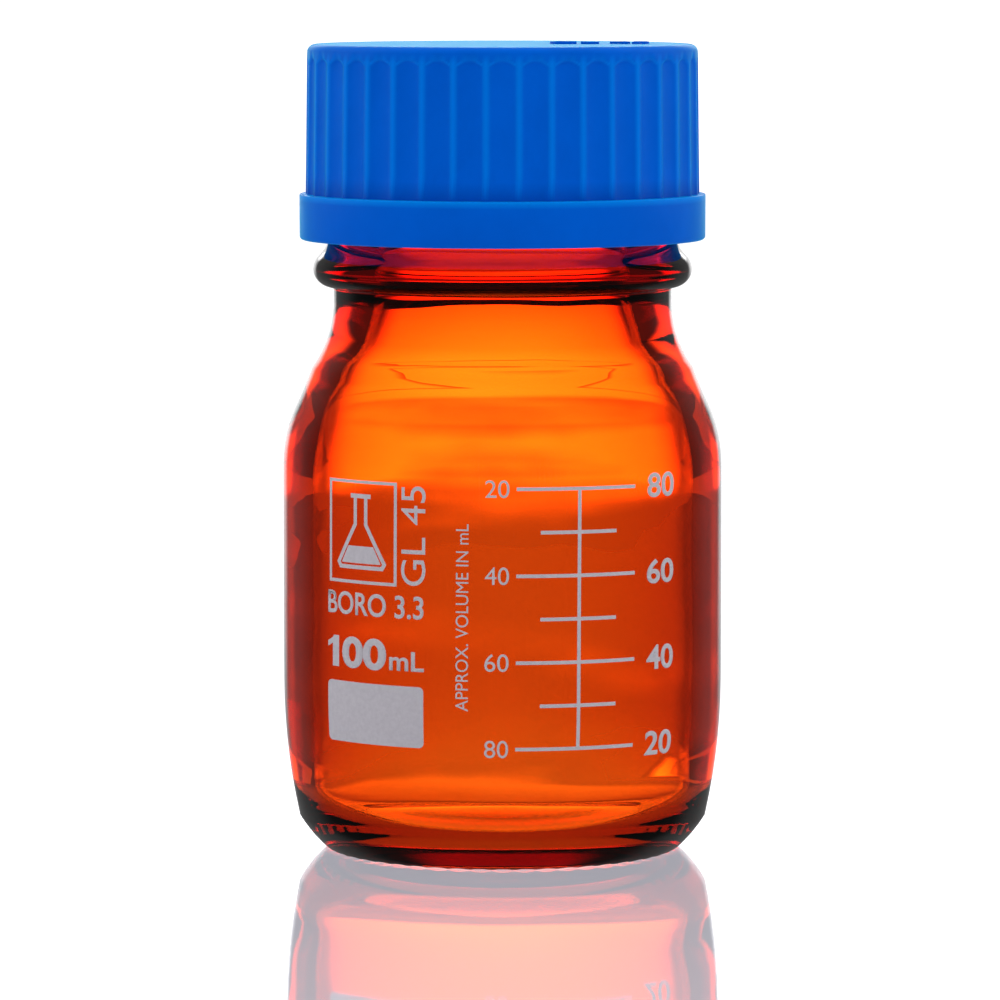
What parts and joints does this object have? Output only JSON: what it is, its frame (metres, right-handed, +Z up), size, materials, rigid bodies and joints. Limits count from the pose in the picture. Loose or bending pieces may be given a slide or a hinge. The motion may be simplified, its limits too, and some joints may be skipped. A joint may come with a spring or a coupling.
{
  "type": "reagent bottle",
  "caption": "Round amber glass laboratory bottle with a blue fluted screw cap, pouring ring and printed volume scale.",
  "frame": {"origin": "centre of the ring that the bottle stands on", "axes": "+Z up the bottle's axis, -Y the printed front"},
  "size_m": [0.056, 0.056, 0.103],
  "materials": {
    "amber_glass": "clear amber-brown borosilicate glass, polished",
    "ring_plastic": "blue polypropylene, smooth",
    "liner": "off-white silicone, matt",
    "cap_plastic": "blue polypropylene, satin, moulded",
    "enamel": "fired white enamel, slightly matt"
  },
  "bodies": {
    "bottle": {"bottle": "amber_glass", "pouring_ring": "ring_plastic", "graduation_scale": "enamel", "writing_patch": "enamel"},
    "seal": {"seal_liner": "liner"},
    "cap": {"screw_cap": "cap_plastic"}
  },
  "joints": [
    {"name": "cap_lift", "type": "slide", "parent": "bottle", "child": "seal", "axis": [0, 0, 1], "range_m": [0, 0.0241]},
    {"name": "cap_turn", "type": "hinge", "parent": "seal", "child": "cap", "pos_m": [0, 0, 0.09], "axis": [0, 0, 1], "range_deg": [0, 2160]}
  ],
  "couplings": [
    {"joint": "cap_lift", "follows": "cap_turn", "m_per_rad": 0.00063662}
  ]
}
